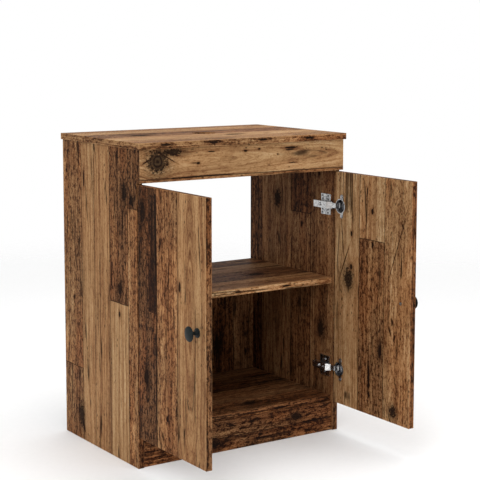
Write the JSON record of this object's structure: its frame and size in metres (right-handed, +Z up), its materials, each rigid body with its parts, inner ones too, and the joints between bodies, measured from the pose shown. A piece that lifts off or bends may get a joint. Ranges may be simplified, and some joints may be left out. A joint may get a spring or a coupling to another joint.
{
  "type": "bathroom vanity cabinet",
  "caption": "Floor-standing washbasin cabinet with overlay doors on cup hinges, a fixed shelf, an open upper back and a solid top.",
  "frame": {"origin": "on the floor, at mid width, on the rear (wall) plane", "axes": "+Z up, -Y towards the front (the doors), +X to the right as seen from the front"},
  "size_m": [0.619, 0.653, 0.745],
  "materials": {
    "decor_back": "matt printed reclaimed-plank decor on chipboard",
    "decor_bottom_shelf": "matt printed reclaimed-plank decor on chipboard",
    "decor_door_left": "matt printed reclaimed-plank decor on chipboard",
    "decor_door_right": "matt printed reclaimed-plank decor on chipboard",
    "decor_fascia": "matt printed reclaimed-plank decor on chipboard",
    "decor_middle_shelf": "matt printed reclaimed-plank decor on chipboard",
    "decor_rail": "matt printed reclaimed-plank decor on chipboard",
    "decor_side_left": "matt printed reclaimed-plank decor on chipboard",
    "decor_side_right": "matt printed reclaimed-plank decor on chipboard",
    "decor_toe_kick": "matt printed reclaimed-plank decor on chipboard",
    "decor_top": "matt printed reclaimed-plank decor on chipboard",
    "nickel_plate": "nickel-plated pressed steel",
    "pin_steel": "ground steel pin",
    "screw_steel": "zinc-plated screw steel",
    "fitting_zinc": "die-cast zinc fitting",
    "dowel_beech": "fluted beech dowel",
    "knob_black": "matt black-blue powder coat"
  },
  "bodies": {
    "carcass": {"adjusting_screw_left_lower": "screw_steel", "adjusting_screw_left_upper": "screw_steel", "adjusting_screw_right_lower": "screw_steel", "adjusting_screw_right_upper": "screw_steel", "back_panel": "decor_back", "back_panel_nails": "screw_steel", "bottom_shelf": "decor_bottom_shelf", "cam_bolts": "fitting_zinc", "cam_housings": "fitting_zinc", "clamp_screw_left_lower": "screw_steel", "clamp_screw_left_upper": "screw_steel", "clamp_screw_right_lower": "screw_steel", "clamp_screw_right_upper": "screw_steel", "front_fascia": "decor_fascia", "hinge_arm_left_lower": "nickel_plate", "hinge_arm_left_upper": "nickel_plate", "hinge_arm_right_lower": "nickel_plate", "hinge_arm_right_upper": "nickel_plate", "hinge_plate_left_lower": "nickel_plate", "hinge_plate_left_upper": "nickel_plate", "hinge_plate_right_lower": "nickel_plate", "hinge_plate_right_upper": "nickel_plate", "middle_shelf": "decor_middle_shelf", "plate_screws": "screw_steel", "rear_rail": "decor_rail", "side_panel_left": "decor_side_left", "side_panel_right": "decor_side_right", "toe_kick": "decor_toe_kick", "top_panel": "decor_top", "wood_dowels": "dowel_beech"},
    "left_door": {"cup_screws_left": "screw_steel", "door_left": "decor_door_left", "hinge_cup_left_lower": "nickel_plate", "hinge_cup_left_upper": "nickel_plate", "hinge_pin_left_lower": "pin_steel", "hinge_pin_left_upper": "pin_steel", "knob_left": "knob_black", "knob_screw_left": "screw_steel"},
    "right_door": {"cup_screws_right": "screw_steel", "door_right": "decor_door_right", "hinge_cup_right_lower": "nickel_plate", "hinge_cup_right_upper": "nickel_plate", "hinge_pin_right_lower": "pin_steel", "hinge_pin_right_upper": "pin_steel", "knob_right": "knob_black", "knob_screw_right": "screw_steel"}
  },
  "joints": [
    {"name": "left_door_hinge", "type": "hinge", "parent": "carcass", "child": "left_door", "pos_m": [-0.2785, -0.376, 0.3635], "axis": [0, 0, -1], "range_deg": [-90, 5]},
    {"name": "right_door_hinge", "type": "hinge", "parent": "carcass", "child": "right_door", "pos_m": [0.2785, -0.376, 0.3635], "axis": [0, 0, 1], "range_deg": [-90, 5]}
  ]
}
